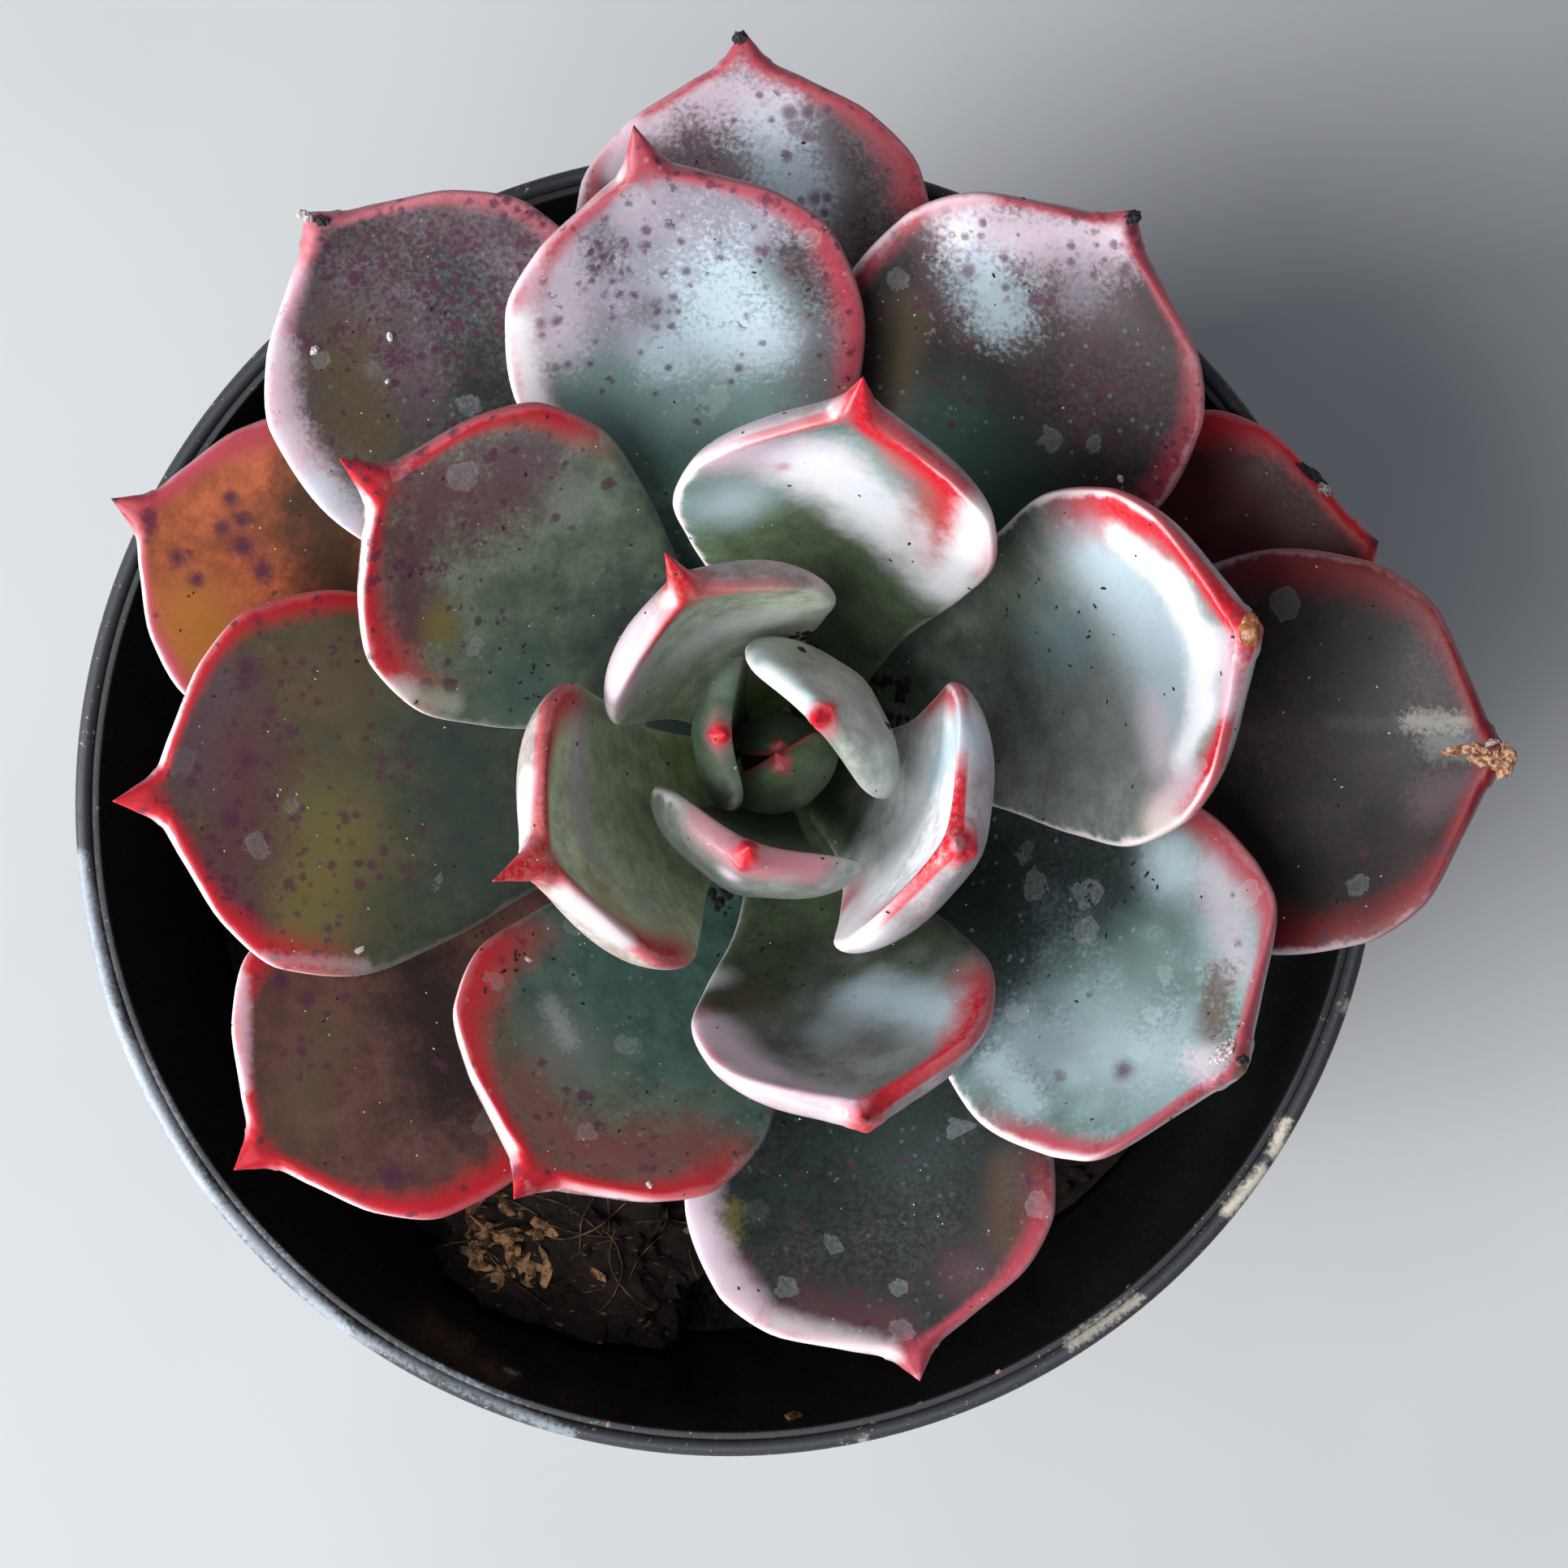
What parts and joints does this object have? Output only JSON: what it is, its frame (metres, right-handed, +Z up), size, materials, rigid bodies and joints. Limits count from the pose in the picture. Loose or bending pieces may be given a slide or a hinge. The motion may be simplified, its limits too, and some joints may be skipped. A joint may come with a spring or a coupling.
{
  "type": "potted echeveria",
  "caption": "Rosette of thick, hollowed, sharp-tipped succulent leaves with red margins on a short stem, set in soil in a round black tapered nursery pot.",
  "frame": {"origin": "centre of the pot's underside, on the pot's axis, in the plane the pot stands on", "axes": "+Z up along the pot's axis; the leaf with the dried tan tip points along +X; +Y is 90 degrees on from it seen from below, up in the view from above"},
  "size_m": [0.0969, 0.0969, 0.1127],
  "materials": {
    "pot_plastic": "satin",
    "potting_mix": "matte",
    "coir": "matte",
    "stem_bark": "matte",
    "leaf_teal": "satin",
    "leaf_plum": "satin",
    "leaf_amber": "satin",
    "leaf_maroon": "satin"
  },
  "bodies": {
    "root": {"pot": "pot_plastic", "potting_soil": "potting_mix", "coir_clod": "coir", "stem": "stem_bark", "crown_bud": "leaf_teal", "leaf_02": "leaf_teal", "leaf_03": "leaf_teal", "leaf_04": "leaf_teal", "leaf_05": "leaf_teal", "leaf_06": "leaf_teal", "leaf_07": "leaf_teal", "leaf_08": "leaf_teal", "leaf_09": "leaf_teal", "leaf_10": "leaf_teal", "leaf_11": "leaf_teal", "leaf_12": "leaf_teal", "leaf_13": "leaf_teal", "leaf_14": "leaf_teal", "leaf_15": "leaf_plum", "leaf_16": "leaf_teal", "leaf_17": "leaf_teal", "leaf_18": "leaf_plum", "leaf_19": "leaf_plum", "leaf_20": "leaf_plum", "leaf_21": "leaf_plum", "leaf_23": "leaf_amber", "leaf_24": "leaf_maroon"}
  },
  "joints": []
}
